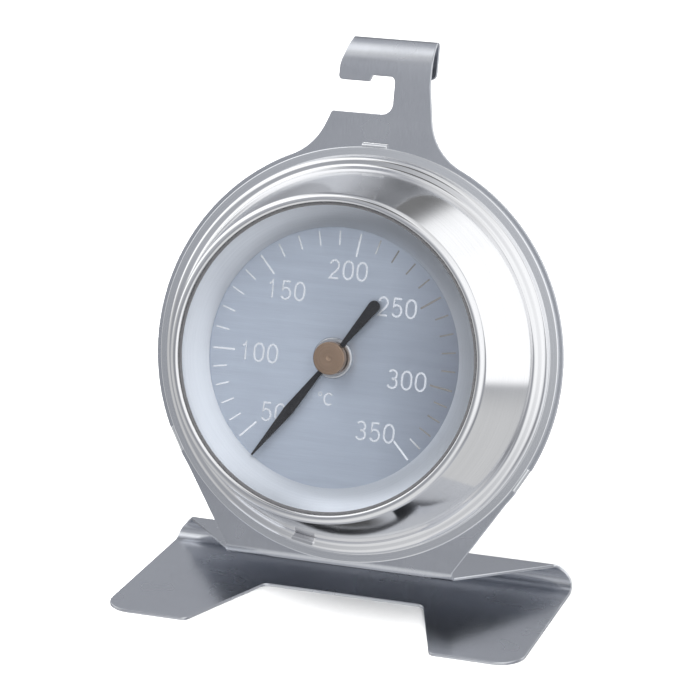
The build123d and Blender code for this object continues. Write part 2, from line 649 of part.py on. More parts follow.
POINTER_PLANE = Plane(
    origin=CASE.offset(POINTER_LOW).origin,
    x_dir=CASE.x_dir.rotate(DIAL_AXIS, POINTER_REST),
    z_dir=CASE.z_dir,
)
with BuildPart() as pointer:
    with BuildSketch(POINTER_PLANE):
        with BuildLine():
            wide = POINTER_WIDE[0]
            waist = POINTER_WAIST[0]
            Polyline(
                (POINTER_TIP_HALF, POINTER_TIP), POINTER_WIDE, POINTER_WAIST,
                (waist, -POINTER_WAIST[1]), (POINTER_TAIL_R, POINTER_TAIL_R - POINTER_TAIL),
                (-POINTER_TAIL_R, POINTER_TAIL_R - POINTER_TAIL), (-waist, -POINTER_WAIST[1]),
                (-waist, POINTER_WAIST[1]), (-wide, POINTER_WIDE[1]), (-POINTER_TIP_HALF, POINTER_TIP),
                close=True,
            )
        make_face()
        with Locations((0, POINTER_TAIL_R - POINTER_TAIL)):
            Circle(POINTER_TAIL_R)
        Circle(POINTER_EYE_R)
        Circle(SEAT_R, mode=Mode.SUBTRACT)
    extrude(amount=POINTER_SHEET)
save(pointer.part, "pointer")

save(
    turned(
        (SEAT_R, POINTER_TOP), (HUB_R, POINTER_TOP), (HUB_R, HUB_TOP - HUB_EDGE),
        (HUB_R - HUB_EDGE, HUB_TOP), (DIMPLE_R, HUB_TOP), (0, HUB_TOP - DIMPLE_DEPTH),
        (0, ARBOR_TOP + FIXED_PLAY), (SEAT_R, ARBOR_TOP + FIXED_PLAY),
    ),
    "pointer_hub",
)
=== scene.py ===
import json
from math import acos, asin, atan2, ceil, cos, degrees, pi, radians, sin, sqrt, tan

import bmesh
import bpy
from mathutils import Matrix, Vector
from mathutils.geometry import delaunay_2d_cdt


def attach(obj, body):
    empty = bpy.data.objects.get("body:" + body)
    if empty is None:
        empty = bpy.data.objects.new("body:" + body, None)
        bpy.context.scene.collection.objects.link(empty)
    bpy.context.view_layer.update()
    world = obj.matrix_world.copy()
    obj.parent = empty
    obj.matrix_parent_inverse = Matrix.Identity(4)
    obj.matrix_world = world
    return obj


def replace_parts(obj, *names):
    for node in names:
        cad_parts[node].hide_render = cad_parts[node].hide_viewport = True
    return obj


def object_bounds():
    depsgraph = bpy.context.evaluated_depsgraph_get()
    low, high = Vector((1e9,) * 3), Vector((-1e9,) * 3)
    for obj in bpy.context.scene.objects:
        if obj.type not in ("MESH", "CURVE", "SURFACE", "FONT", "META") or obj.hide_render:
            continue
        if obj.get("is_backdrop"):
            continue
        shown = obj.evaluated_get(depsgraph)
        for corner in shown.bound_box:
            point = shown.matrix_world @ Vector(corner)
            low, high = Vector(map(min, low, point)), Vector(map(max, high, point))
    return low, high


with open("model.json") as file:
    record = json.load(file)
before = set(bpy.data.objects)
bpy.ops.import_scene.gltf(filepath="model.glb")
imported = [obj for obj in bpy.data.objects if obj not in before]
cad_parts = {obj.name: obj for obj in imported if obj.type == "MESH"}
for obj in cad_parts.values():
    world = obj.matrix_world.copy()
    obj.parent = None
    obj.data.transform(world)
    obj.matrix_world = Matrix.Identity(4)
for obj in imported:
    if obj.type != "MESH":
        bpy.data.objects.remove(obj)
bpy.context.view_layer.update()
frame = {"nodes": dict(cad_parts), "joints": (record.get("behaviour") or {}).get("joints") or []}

# Lengths are in millimetres until a mesh is finished, except in the materials,
# where they are in metres. Dial coordinates are x to the right, v up the leaning
# plate and w out along the dial axis.
MM = 0.001
FIXED = "case_and_stand"
TURNING = "pointer_set"

JOINT = frame["joints"][0]
CENTRE = Vector(JOINT["pos_m"])
DIAL_OUT = -Vector(JOINT["axis"]).normalized()
ACROSS = Vector((1, 0, 0))
UP_PLATE = DIAL_OUT.cross(ACROSS)
DIAL = Matrix.Translation(CENTRE) @ Matrix((ACROSS, UP_PLATE, DIAL_OUT)).transposed().to_4x4()
LEAN = acos(UP_PLATE.z)

# The same sizes as the CAD part, except that the seal reaches 0.2 further in and
# the tabs fill their notches more closely.
SHEET = 0.5
HALF_SHEET = SHEET / 2
DISC_R = 34.0
NECK_RIGHT, NECK_LEFT = (8.2, 43.6), (7.75, 38.55)
SLANT_RIGHT, SLANT_LEFT = 0.143, 0.4
ROOT_R_RIGHT, ROOT_R_LEFT = 9.5, 10.0
FINGER_LEFT, HOOK_LEFT_TOP = 7.1, 5.8
SLOT_END, SLOT_LOW, SLOT_HIGH = 2.3, 38.55, 43.6
NOTCH_FOOT, NOTCH_TOP, NOTCH_HIGH = -1.9, -1.4, 44.7
ROLL_LEAD_R, ROLL_LEAD, ROLL_DEPTH = 6.0, radians(45), 3.1
HOOK_TOP, LIP_END = 50.7, 44.7
LEG_TOP = (26.8, -20.9)
LEG_FOOT_HALF = 19.2
SHELF_SLOPE, SHELF_RUN, SHELF_BACK_HALF = 6.0, 16.8, 31.3
FRONT_BEND_R, BACK_BEND_R = 1.25, 2.2
SHEET_EASE = 0.06
BASE_HALF = 34.5
FOOT_FRONT, FOOT_INNER_CORNER = 23.4, 20.2
BRIDGE_HALF, BRIDGE_FRONT = 13.6, 4.8
WALL = 0.45
FLANGE_R, STEP_R, LEDGE_TOP = 33.3, 31.9, 2.1
CONE_FOOT, CONE_TOP = (29.95, 2.4), (25.55, 16.3)
LIP_R, LIP_BOTTOM = 24.2, 15.75
TAB_R, TAB_WIDTH, TAB_REACH, TAB_PLAY = 33.85, 4.2, 3.2, 0.04
PAD_ANGLE, PAD_WIDTH, PAD_FROM_R, PAD_TO_R = 260.0, 3.9, 30.55, 31.25
PAD_TOP, PAD_CORNER_R = 2.6, 0.3
LENS_R, LENS_TOP, LENS_BOTTOM = 24.9, 15.6, 14.2
SEAL_R = 23.8
DIAL_VIEW_R, DIAL_R, DIAL_HOLE_R, DIAL_TOP, DIAL_SHEET = 20.1, 23.4, 2.0, 11.6, 0.4
ARBOR_R, BUSH_BORE_R, BUSH_R, BUSH_BOTTOM = 0.75, 0.8, 1.9, 9.0
BUSH_FLANGE_R, BUSH_FLANGE_TOP = 3.2, 11.95
HUB_R, POINTER_TOP, HUB_TOP, HUB_CAP = 2.55, 12.45, 13.75, 0.58
DIMPLE_R, DIMPLE_DEPTH = 0.4, 0.25
VENT_R, VENT_WIDTH, VENT_LENGTH = 17.5, 2.4, 9.0
TAB_ANGLES = (90, 210, 330)
TAB_BEND_R = 0.3
LEDGE_FILLET, CONE_FILLET, RIM_FILLET, LIP_FILLET = 1.0, 1.0, 1.05, 0.5
PLATE_GAP, STEP_DRAFT = 0.02, 0.1
FOOT_CORNER_R, FOOT_INNER_R, BRIDGE_CORNER_R = 4.3, 1.2, 1.5
# The figures on the dial and the places of their middles, in x and v.
NUMERALS = {
    "50": (-8.8, -9.4), "100": (-12.0, -0.4), "150": (-8.5, 9.6), "200": (1.2, 13.6),
    "250": (9.5, 8.7), "300": (12.05, -2.2), "350": (7.8, -10.6),
}
NUMERAL_HIGH, NUMERAL_WIDE, NUMERAL_GAP, NUMERAL_STROKE = 2.75, 1.5, 0.72, 0.31
UNIT_AT, UNIT_HIGH, UNIT_STROKE = (-0.1, -6.4), 1.75, 0.27
DEGREE_AT, DEGREE_R, DEGREE_STROKE = (-1.5, -5.75), 0.28, 0.16
TICK_LONG_R, TICK_SHORT_R, TICK_END_R = 15.95, 17.35, 19.55
TICK_LONG_WIDTH, TICK_SHORT_WIDTH = 0.3, 0.24
# The long ticks, clockwise from the top of the dial, in degrees.
MAJORS = {50: -134.4, 100: -91.2, 150: -41.9, 200: 8.2, 250: 55.9, 300: 99.0, 350: 136.8}
TICKS_PER_MAJOR = 5
PRINT_LOW, PRINT_HIGH = DIAL_TOP - 0.005, DIAL_TOP + 0.02

# ---------------------------------------------------------------------------
# Outlines
# ---------------------------------------------------------------------------


def arc(centre, radius, start, end, step=3.0):
    """Points of an arc, angles in degrees anticlockwise from +x, ends included."""
    count = max(2, ceil(abs(end - start) / step))
    angles = [radians(start + (end - start) * i / count) for i in range(count + 1)]
    return [(centre[0] + radius * cos(a), centre[1] + radius * sin(a)) for a in angles]


def rounded(corners, steps=8):
    """Closed outline through (x, y) or (x, y, corner radius) points."""
    outline = []
    for i, corner in enumerate(corners):
        here = Vector(corner[:2])
        if len(corner) < 3:
            outline.append(tuple(here))
            continue
        before = (Vector(corners[i - 1][:2]) - here).normalized()
        after = (Vector(corners[(i + 1) % len(corners)][:2]) - here).normalized()
        half = before.angle(after) / 2
        middle = here + (before + after).normalized() * (corner[2] / sin(half))
        first = here + before * (corner[2] / tan(half)) - middle
        last = here + after * (corner[2] / tan(half)) - middle
        turn = pi - 2 * half
        if first.cross(last) < 0:
            turn = -turn
        for k in range(steps + 1):
            part = turn * k / steps
            outline.append((
                middle.x + first.x * cos(part) - first.y * sin(part),
                middle.y + first.x * sin(part) + first.y * cos(part),
            ))
    return outline


def area(loop):
    """Signed area of a closed loop, positive when it runs anticlockwise."""
    return sum(a[0] * b[1] - b[0] * a[1] for a, b in zip(loop, loop[1:] + loop[:1])) / 2


def inset(loop, distance):
    """The loop moved to its left by a distance, corners mitred."""
    moved = []
    for i, point in enumerate(loop):
        here = Vector(point)
        back = (here - Vector(loop[i - 1])).normalized()
        on = (Vector(loop[(i + 1) % len(loop)]) - here).normalized()
        left = Vector((-back.y - on.y, back.x + on.x)).normalized()
        miter = 1 / max(0.4, left.dot(Vector((-on.y, on.x))))
        moved.append(tuple(here + left * distance * miter))
    return moved


def inside(point, loops):
    """Even-odd test of a point against all loops."""
    x, y = point
    crossings = 0
    for loop in loops:
        for (ax, ay), (bx, by) in zip(loop, loop[1:] + loop[:1]):
            if (ay > y) != (by > y) and x < ax + (y - ay) * (bx - ax) / (by - ay):
                crossings += 1
    return crossings % 2 == 1


def slab(bm, loops, low, high, ease, steps=2):
    """Adds a flat plate between two heights with rounded edges; the first loop is its outline."""
    loops = [loop if (area(loop) > 0) == (i == 0) else loop[::-1] for i, loop in enumerate(loops)]
    turn = [pi / 2 * k / steps for k in range(steps + 1)]
    levels = [(3 * ease, low)]
    levels += [(ease * (1 - sin(a)), low + ease * (1 - cos(a))) for a in turn]
    levels += [(ease * (1 - cos(a)), high - ease * (1 - sin(a))) for a in turn]
    levels += [(3 * ease, high)]
    rings = []
    for loop in loops:
        ring = [[bm.verts.new((*p, z)) for p in inset(loop, d)] for d, z in levels]
        rings.append(ring)
        for lower, upper in zip(ring, ring[1:]):
            for i in range(len(loop)):
                bm.faces.new((lower[i - 1], lower[i], upper[i], upper[i - 1]))
    for level, flip in ((0, True), (-1, False)):
        verts = [v for ring in rings for v in ring[level]]
        edges = []
        start = 0
        for ring in rings:
            count = len(ring[level])
            edges += [(start + i, start + (i + 1) % count) for i in range(count)]
            start += count
        flat = [v.co.xy for v in verts]
        borders = [[tuple(v.co.xy) for v in ring[level]] for ring in rings]
        found, _, faces, origin, _, _ = delaunay_2d_cdt(flat, edges, [], 1, 1e-7)
        for face in faces:
            middle = sum((Vector(found[i]) for i in face), Vector((0, 0))) / len(face)
            corners = [verts[origin[i][0]] for i in face]
            if inside(middle, borders) and len(set(corners)) == len(corners):
                bm.faces.new(corners[::-1] if flip else corners)


def bend(bm, start, heading, runs, begin):
    """Bends a slab lying in x and u along a path of (length, turn) runs; z is its outer side.

    start and heading (degrees) are in the plane the path lies in, begin is the
    first run's u. Returns every point as (x, path's first axis, path's second axis).
    """
    marks = []
    place, angle, at = Vector(start), radians(heading), begin
    for length, turn in runs:
        marks.append((at, place.copy(), angle, length, radians(turn)))
        cuts = ceil(abs(turn) / 6)
        for k in range(cuts + 1 if cuts else 0):
            bmesh.ops.bisect_plane(
                bm, geom=bm.verts[:] + bm.edges[:] + bm.faces[:], dist=1e-6,
                plane_co=(0, at + length * k / cuts, 0), plane_no=(0, 1, 0),
            )
        if turn:
            radius = length / radians(turn)
            end = angle + radians(turn)
            place += radius * Vector((sin(end) - sin(angle), cos(angle) - cos(end)))
            angle = end
        else:
            place += length * Vector((cos(angle), sin(angle)))
        at += length
    for vert in bm.verts:
        passed = [mark for mark in marks if mark[0] <= vert.co.y + 1e-5 or mark is marks[0]]
        at, place, angle, length, turn = passed[-1]
        along = vert.co.y - at
        if turn:
            radius = length / turn
            end = angle + along / radius
            spot = place + radius * Vector((sin(end) - sin(angle), cos(angle) - cos(end)))
        else:
            end = angle
            spot = place + along * Vector((cos(angle), sin(angle)))
        spot += vert.co.z * Vector((sin(end), -cos(end)))
        vert.co = (vert.co.x, spot.x, spot.y)


def revolve(bm, outline, segments=288):
    """Adds a ring or disc turned about the dial axis from a closed (radius, w) outline."""
    outline = outline if area(outline) > 0 else outline[::-1]
    rings = []
    for radius, height in outline:
        if radius < 1e-6:
            rings.append([bm.verts.new((0, 0, height))] * segments)
        else:
            turn = [2 * pi * k / segments for k in range(segments)]
            rings.append([bm.verts.new((radius * cos(a), radius * sin(a), height)) for a in turn])
    for i, ring in enumerate(rings):
        after = rings[(i + 1) % len(rings)]
        for k in range(segments):
            quad = []
            for vert in (ring[k - 1], ring[k], after[k], after[k - 1]):
                if vert not in quad:
                    quad.append(vert)
            if len(quad) > 2:
                bm.faces.new(quad)


def join(bm, other):
    """Adds another mesh, which is used up."""
    holder = bpy.data.meshes.new("holder")
    other.to_mesh(holder)
    other.free()
    bm.from_mesh(holder)
    bpy.data.meshes.remove(holder)


def piece(name, bm, material, body=FIXED, matrix=DIAL, sharp=50):
    """Finishes a mesh in millimetres as a piece that rides on a body."""
    bmesh.ops.recalc_face_normals(bm, faces=bm.faces[:])
    bmesh.ops.scale(bm, vec=(MM, MM, MM), verts=bm.verts[:])
    mesh = bpy.data.meshes.new(name)
    bm.to_mesh(mesh)
    bm.free()
    for polygon in mesh.polygons:
        polygon.use_smooth = True
    mesh.set_sharp_from_angle(angle=radians(sharp))
    mesh.materials.append(material)
    obj = bpy.data.objects.new(name, mesh)
    bpy.context.scene.collection.objects.link(obj)
    obj.matrix_world = matrix
    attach(obj, body)
    return obj


# ---------------------------------------------------------------------------
# Materials
# ---------------------------------------------------------------------------


# Metres of noise travel per radian round the dial axis: lines that run round stay long.
ANGLE_SPREAD = 0.0008


class Nodes:
    """Short hand for building one material's node tree."""

    def __init__(self, name):
        self.material = bpy.data.materials.new(name)
        self.material.use_nodes = True
        self.tree = self.material.node_tree
        self.shader = self.tree.nodes["Principled BSDF"]
        self.output = self.tree.nodes["Material Output"]

    def add(self, kind, links=None, **settings):
        node = self.tree.nodes.new(kind)
        for key, value in settings.items():
            setattr(node, key, value)
        for key, value in (links or {}).items():
            self.put(node.inputs[key], value)
        return node

    def put(self, socket, value):
        if isinstance(value, bpy.types.NodeSocket):
            self.tree.links.new(value, socket)
        else:
            socket.default_value = value

    def set(self, **values):
        for key, value in values.items():
            self.put(self.shader.inputs[key.replace("_", " ")], value)

    def coords(self):
        return self.add("ShaderNodeTexCoord").outputs["Object"]

    def round_coords(self):
        """Coordinates (distance from the dial axis, angle, height) of a dial piece."""
        parts = self.add("ShaderNodeSeparateXYZ", {0: self.coords()})
        x, y, z = parts.outputs
        flat = self.add("ShaderNodeCombineXYZ", {0: x, 1: y})
        radius = self.add("ShaderNodeVectorMath", {0: flat.outputs[0]}, operation="LENGTH")
        angle = self.add("ShaderNodeMath", {0: y, 1: x}, operation="ARCTAN2")
        spread = self.add("ShaderNodeMath", {0: angle.outputs[0], 1: ANGLE_SPREAD}, operation="MULTIPLY")
        both = {0: radius.outputs["Value"], 1: spread.outputs[0], 2: z}
        return self.add("ShaderNodeCombineXYZ", both).outputs[0]

    def noise(self, coords, scale, detail=3.0, rough=0.55, seed=0.0):
        """Noise stretched by a scale per axis, in features per metre."""
        place = {"Vector": coords, "Scale": scale, "Location": (seed, seed, seed)}
        moved = self.add("ShaderNodeMapping", place)
        links = {"Vector": moved.outputs[0], "Scale": 1.0, "Detail": detail, "Roughness": rough}
        return self.add("ShaderNodeTexNoise", links).outputs["Fac"]

    def spread(self, value, low, high, source=(0.3, 0.7)):
        """Maps a source range of a value smoothly onto low to high."""
        links = {0: value, 1: source[0], 2: source[1], 3: low, 4: high}
        return self.add("ShaderNodeMapRange", links, interpolation_type="SMOOTHSTEP").outputs[0]

    def ramp(self, value, *stops):
        node = self.add("ShaderNodeValToRGB", {0: value})
        elements = node.color_ramp.elements
        while len(elements) < len(stops):
            elements.new(0.5)
        for element, (position, colour) in zip(elements, stops):
            element.position = position
            element.color = (*colour, 1)
        return node.outputs[0]

    def times(self, first, second):
        """Product of two colours."""
        links = {0: 1.0, 6: first, 7: second}
        return self.add("ShaderNodeMix", links, data_type="RGBA", blend_type="MULTIPLY").outputs[2]

    def bump(self, height, distance, strength=1.0, normal=None):
        links = {"Height": height, "Distance": distance, "Strength": strength}
        if normal is not None:
            links["Normal"] = normal
        return self.add("ShaderNodeBump", links).outputs[0]


def between(low, high):
    """Ramp stops that spread the middle of a noise over two colours."""
    return ((0.32, low), (0.68, high))


def sheet_steel(name, light, dark, roughness, fine=(900, 9000, 9000), seed=0.0):
    """Rolled steel sheet: fine rolling lines, cloudy patches and small specks."""
    n = Nodes(name)
    place = n.coords()
    grain = n.noise(place, fine, 4, 0.6, seed)
    cloud = n.noise(place, (70, 70, 90), 3, 0.6, seed + 7)
    speck = n.noise(place, (2600, 2600, 2600), 2, 0.5, seed + 3)
    colour = n.ramp(grain, *between(dark, light))
    n.set(
        Base_Color=colour, Metallic=1.0,
        Roughness=n.spread(cloud, roughness - 0.03, roughness + 0.05),
        Normal=n.bump(speck, 0.000004, 0.5, n.bump(grain, 0.000003, 0.7)),
    )
    return n.material


def spun_steel(name, light, dark, roughness, metal=1.0, depth=0.000002):
    """Polished steel with lines that run round the dial axis."""
    n = Nodes(name)
    place = n.round_coords()
    lines = n.noise(place, (5200, 900, 5200), 3, 0.6)
    smear = n.noise(n.coords(), (110, 110, 110), 3, 0.55, 4)
    n.set(
        Base_Color=n.ramp(lines, *between(dark, light)), Metallic=metal,
        Roughness=n.spread(smear, roughness, roughness + 0.05),
        Normal=n.bump(lines, depth, 0.6),
    )
    return n.material


def case_steel(name):
    """The case: polished cone and rim, and a duller flange that the spinning tool left."""
    n = Nodes(name)
    place = n.round_coords()
    lines = n.noise(place, (5200, 900, 5200), 3, 0.6)
    smear = n.noise(n.coords(), (110, 110, 110), 3, 0.55, 4)
    radius = n.add("ShaderNodeSeparateXYZ", {0: place}).outputs[0]
    flange_from = STEP_R * MM
    dull = n.spread(radius, 0.0, 1.0, (flange_from - 0.00005, flange_from + 0.00015))
    bright = n.ramp(lines, *between((0.80, 0.80, 0.81), (0.86, 0.86, 0.87)))
    satin = n.ramp(lines, *between((0.82, 0.83, 0.85), (0.88, 0.89, 0.91)))
    mixed = n.add("ShaderNodeMix", {0: dull, 6: bright, 7: satin}, data_type="RGBA")
    polish = n.spread(smear, 0.09, 0.13)
    rough = n.add("ShaderNodeMapRange", {0: dull, 1: 0.0, 2: 1.0, 3: polish, 4: 0.2})
    n.set(
        Base_Color=mixed.outputs[2], Metallic=1.0, Roughness=rough.outputs[0],
        Normal=n.bump(lines, 0.000001, 0.6),
    )
    return n.material


def dial_metal_painted_shade(name):
    """Dial sheet brushed straight across, blue-grey, uneven, with painted shade that darkens it towards the
    right.
    """
    n = Nodes(name)
    place = n.coords()
    strokes = n.noise(place, (170, 6500, 10), 4, 0.65)
    broad = n.noise(place, (60, 900, 10), 3, 0.6, 5)
    colour = n.ramp(strokes, *between((0.58, 0.65, 0.765), (0.64, 0.71, 0.825)))
    wide = n.ramp(broad, *between((0.93, 0.93, 0.94), (1.0, 1.0, 1.0)))
    brushed = n.times(colour, wide)
    # Painted shade: the base colour is darkened step by step from the left of the dial to the right.
    x = n.add("ShaderNodeSeparateXYZ", {0: place}).outputs[0]
    across = n.add("ShaderNodeMapRange", {0: x, 1: -0.02, 2: 0.02, 3: 0.0, 4: 1.0}).outputs[0]
    painted_shade = n.ramp(
        across, (0.0, (1.0, 1.0, 1.0)), (0.2, (0.9, 0.9, 0.9)), (0.7, (0.8, 0.8, 0.8)),
        (1.0, (0.46, 0.46, 0.48)),
    )
    n.set(
        Base_Color=n.times(brushed, painted_shade), Metallic=0.75, Roughness=n.spread(strokes, 0.36, 0.5),
        Anisotropic=0.6, Normal=n.bump(strokes, 0.000004, 0.6),
    )
    return n.material


def turned_brass(name):
    """Lathe-turned brass with a coppery tone and light rings."""
    n = Nodes(name)
    rings = n.noise(n.round_coords(), (14000, 300, 3000), 3, 0.6)
    colour = n.ramp(rings, *between((0.34, 0.235, 0.165), (0.43, 0.30, 0.215)))
    n.set(
        Base_Color=colour, Metallic=0.9, Roughness=n.spread(rings, 0.3, 0.44),
        Normal=n.bump(rings, 0.000004, 0.8),
    )
    return n.material


def paint(name, light, dark, roughness, grain=4000.0, shine=0.5, depth=0.000004):
    """Thin paint or print with a fine grain."""
    n = Nodes(name)
    grit = n.noise(n.coords(), (grain, grain, grain), 3, 0.6)
    n.set(
        Base_Color=n.ramp(grit, *between(dark, light)), Specular_IOR_Level=shine,
        Roughness=n.spread(grit, roughness - 0.04, roughness + 0.08),
        Normal=n.bump(grit, depth, 0.6),
    )
    return n.material


def tick_print_painted_shade(name):
    """White print with painted shade that turns it dull grey towards the right of the dial."""
    n = Nodes(name)
    place = n.coords()
    grit = n.noise(place, (5000, 5000, 5000), 3, 0.6)
    x, v, _ = n.add("ShaderNodeSeparateXYZ", {0: place}).outputs
    # Painted shade: ticks beyond a slanted line across the dial get a dark dull grey in place of white.
    sideways = n.add("ShaderNodeMath", {0: v, 1: 0.3, 2: x}, operation="MULTIPLY_ADD").outputs[0]
    painted_shade_mask = n.spread(sideways, 0.0, 1.0, (0.009, 0.0128))
    white = n.ramp(grit, *between((0.48, 0.50, 0.54), (0.57, 0.59, 0.63)))
    dull = n.ramp(grit, *between((0.14, 0.135, 0.13), (0.18, 0.17, 0.165)))
    mixed = n.add("ShaderNodeMix", {0: painted_shade_mask, 6: white, 7: dull}, data_type="RGBA")
    n.set(
        Base_Color=mixed.outputs[2], Roughness=n.spread(grit, 0.45, 0.6), Normal=n.bump(grit, 0.000003, 0.6),
    )
    return n.material


def window_glass(name):
    """Clear glass with faint waviness that lets lamp light through to the dial."""
    n = Nodes(name)
    waves = n.noise(n.coords(), (160, 160, 160), 2, 0.5)
    n.set(
        Base_Color=(1.0, 1.0, 1.0, 1), Roughness=0.0, IOR=1.45, Transmission_Weight=1.0,
        Normal=n.bump(waves, 0.0000015, 0.4),
    )
    clear = n.add("ShaderNodeBsdfTransparent", {0: (0.97, 0.98, 0.985, 1)})
    path = n.add("ShaderNodeLightPath")
    links = {0: path.outputs["Is Shadow Ray"], 1: n.shader.outputs[0], 2: clear.outputs[0]}
    mixed = n.add("ShaderNodeMixShader", links)
    n.tree.links.new(mixed.outputs[0], n.output.inputs["Surface"])
    return n.material


STAND = sheet_steel("stand_steel", (0.68, 0.695, 0.73), (0.63, 0.645, 0.68), 0.24, (9000, 900, 900))
CASE = case_steel("case_steel")
RING = spun_steel("reflector_metal", (0.70, 0.74, 0.81), (0.65, 0.69, 0.76), 0.3, 0.75)
INNER = sheet_steel("inner_steel", (0.55, 0.55, 0.56), (0.45, 0.45, 0.46), 0.3, seed=11)
BIMETAL = sheet_steel("bimetal_strip", (0.52, 0.49, 0.44), (0.42, 0.4, 0.37), 0.34, (300, 300, 6000), 17)
NICKEL = spun_steel("bush_nickel", (0.62, 0.63, 0.65), (0.55, 0.56, 0.58), 0.16)
BRASS = turned_brass("hub_brass")
DIAL_METAL_PAINTED_SHADE = dial_metal_painted_shade("dial_metal_painted_shade")
GLASS = window_glass("window_glass")
RUBBER = paint("seal_rubber", (0.11, 0.11, 0.115), (0.08, 0.08, 0.085), 0.6, 3000.0, depth=0.00001)
BLACK = paint("pointer_black", (0.012, 0.012, 0.014), (0.007, 0.007, 0.009), 0.6, shine=0.1)
PRINT = paint("numeral_print", (0.48, 0.50, 0.54), (0.42, 0.44, 0.48), 0.5, 5000.0)
TICK_PRINT_PAINTED_SHADE = tick_print_painted_shade("tick_print_painted_shade")

CAD_FINISH = {
    "dial_support_ring": INNER, "movement_frame": INNER, "frame_rivets": INNER, "anchor_rivet": INNER,
    "coil_anchor": INNER, "coil_end_pin": INNER, "arbor": INNER, "retaining_clip": INNER,
    "bimetal_coil": BIMETAL, "rear_pivot_cup": BRASS, "coil_collet": BRASS, "thrust_washer": BRASS,
    "pointer": BLACK,
}
for node, finish in CAD_FINISH.items():
    materials = frame["nodes"][node].data.materials
    for index in range(len(materials)):
        materials[index] = finish
    if not materials:
        materials.append(finish)

# ---------------------------------------------------------------------------
# Stand: the flat blank is drawn in x and u, the length along the middle of
# the sheet (u is -v on the plate), and then bent along its fold path
# ---------------------------------------------------------------------------

ROLL_R = (ROLL_DEPTH - ROLL_LEAD_R * (1 - cos(ROLL_LEAD))) / (1 + cos(ROLL_LEAD))
ROLL_FOOT = HOOK_TOP - HALF_SHEET - ROLL_LEAD_R * sin(ROLL_LEAD) - ROLL_R * (1 - sin(ROLL_LEAD))
LIP_TOP = ROLL_FOOT + (ROLL_LEAD_R - ROLL_R) * sin(ROLL_LEAD)
LEAD_RUN, CURL_RUN = ROLL_LEAD_R * ROLL_LEAD, ROLL_R * (pi - ROLL_LEAD)
LIP_TIP_U = -ROLL_FOOT - LEAD_RUN - CURL_RUN - (LIP_TOP - LIP_END)

slope = radians(SHELF_SLOPE)
bend_turn = 90 + LEAN * 180 / pi - SHELF_SLOPE
setback = FRONT_BEND_R * tan(radians(bend_turn / 2))
shelf_back_z = HALF_SHEET + BACK_BEND_R * (1 + cos(slope))
crease_z = shelf_back_z + SHELF_RUN * sin(slope)
disc_y, disc_z = CENTRE.y / MM, CENTRE.z / MM
sheet_y = disc_y + HALF_SHEET * cos(LEAN)
sheet_z = disc_z - HALF_SHEET * sin(LEAN)
crease_y = sheet_y + (crease_z - sheet_z) * tan(LEAN)
shelf_back_y = crease_y + SHELF_RUN * cos(slope)
leg_end = (crease_z - sheet_z) / cos(LEAN) + setback
floor_y = shelf_back_y - BACK_BEND_R * sin(slope)
foot_front_y = disc_y - FOOT_FRONT

bend_u = -leg_end
shelf_u = bend_u + FRONT_BEND_R * radians(bend_turn)
fold_u = shelf_u + SHELF_RUN - setback
floor_u = fold_u + BACK_BEND_R * radians(180 - SHELF_SLOPE)
foot_u = floor_u + floor_y - foot_front_y
bridge_u = floor_u + floor_y - (disc_y - BRIDGE_FRONT)


def fold_side():
    """Half width round the back fold, from the shelf's corner down to the floor."""
    points = []
    for k in range(13):
        turn = radians(SHELF_SLOPE) + radians(180 - SHELF_SLOPE) * k / 12
        height = HALF_SHEET + BACK_BEND_R * (1 + cos(turn))
        drop = (2 * BACK_BEND_R + SHEET - height) / (2 * BACK_BEND_R)
        half = SHELF_BACK_HALF + (BASE_HALF - SHELF_BACK_HALF) * sin(min(1, max(0, drop)) * pi / 2)
        points.append((half, fold_u + BACK_BEND_R * (turn - radians(SHELF_SLOPE))))
    return points


def neck_root(top, slant, radius):
    """The fillet from the neck's slanted right edge, which starts at top, into the disc."""
    down = Vector((slant, 1)).normalized()
    out = Vector((down.y, -down.x))
    first = Vector((top[0], -top[1])) + out * radius
    along = first.dot(down)
    reach = -along - sqrt(along ** 2 - first.length_squared + (DISC_R + radius) ** 2)
    middle = first + down * reach
    begin = atan2(-out.y, -out.x) * 180 / pi
    end = atan2(-middle.y, -middle.x) * 180 / pi
    return arc(middle, radius, begin, end), 180 - end


def tab_notch(angle):
    """Corners of the notch for a case tab in the disc's edge, clockwise on the right."""
    middle = radians(angle)
    out = Vector((cos(middle), sin(middle)))
    along = Vector((-out.y, out.x))
    half = TAB_WIDTH / 2 + TAB_PLAY
    deep = TAB_R - WALL - TAB_PLAY
    edge = sqrt(DISC_R ** 2 - half ** 2)
    corners = ((-half, edge), (-half, deep), (half, deep), (half, edge))
    return [tuple(out * r + along * s) for s, r in corners]


def side(top, slant, root_r):
    """The blank's right edge from the neck's root to the fold between the feet."""
    root, root_end = neck_root(top, slant, root_r)
    leg_angle = atan2(-LEG_TOP[1], LEG_TOP[0]) * 180 / pi
    reach = asin((TAB_WIDTH / 2 + TAB_PLAY) / DISC_R) * 180 / pi
    points = root[:-1]
    points += arc((0, 0), DISC_R, -root_end, 30 - reach, 1.5)[:-1]
    points += tab_notch(30)
    points += arc((0, 0), DISC_R, 30 + reach, leg_angle, 1.5)[1:]
    points += [(LEG_FOOT_HALF, bend_u), (LEG_FOOT_HALF, shelf_u)]
    points += fold_side()
    foot = rounded([
        (0, bridge_u), (0, floor_u), (BASE_HALF, floor_u), (BASE_HALF, foot_u, FOOT_CORNER_R),
        (FOOT_INNER_CORNER, foot_u, FOOT_INNER_R), (BRIDGE_HALF, bridge_u, BRIDGE_CORNER_R),
    ])
    return points + foot[3:]  # the first three only give the corners their directions


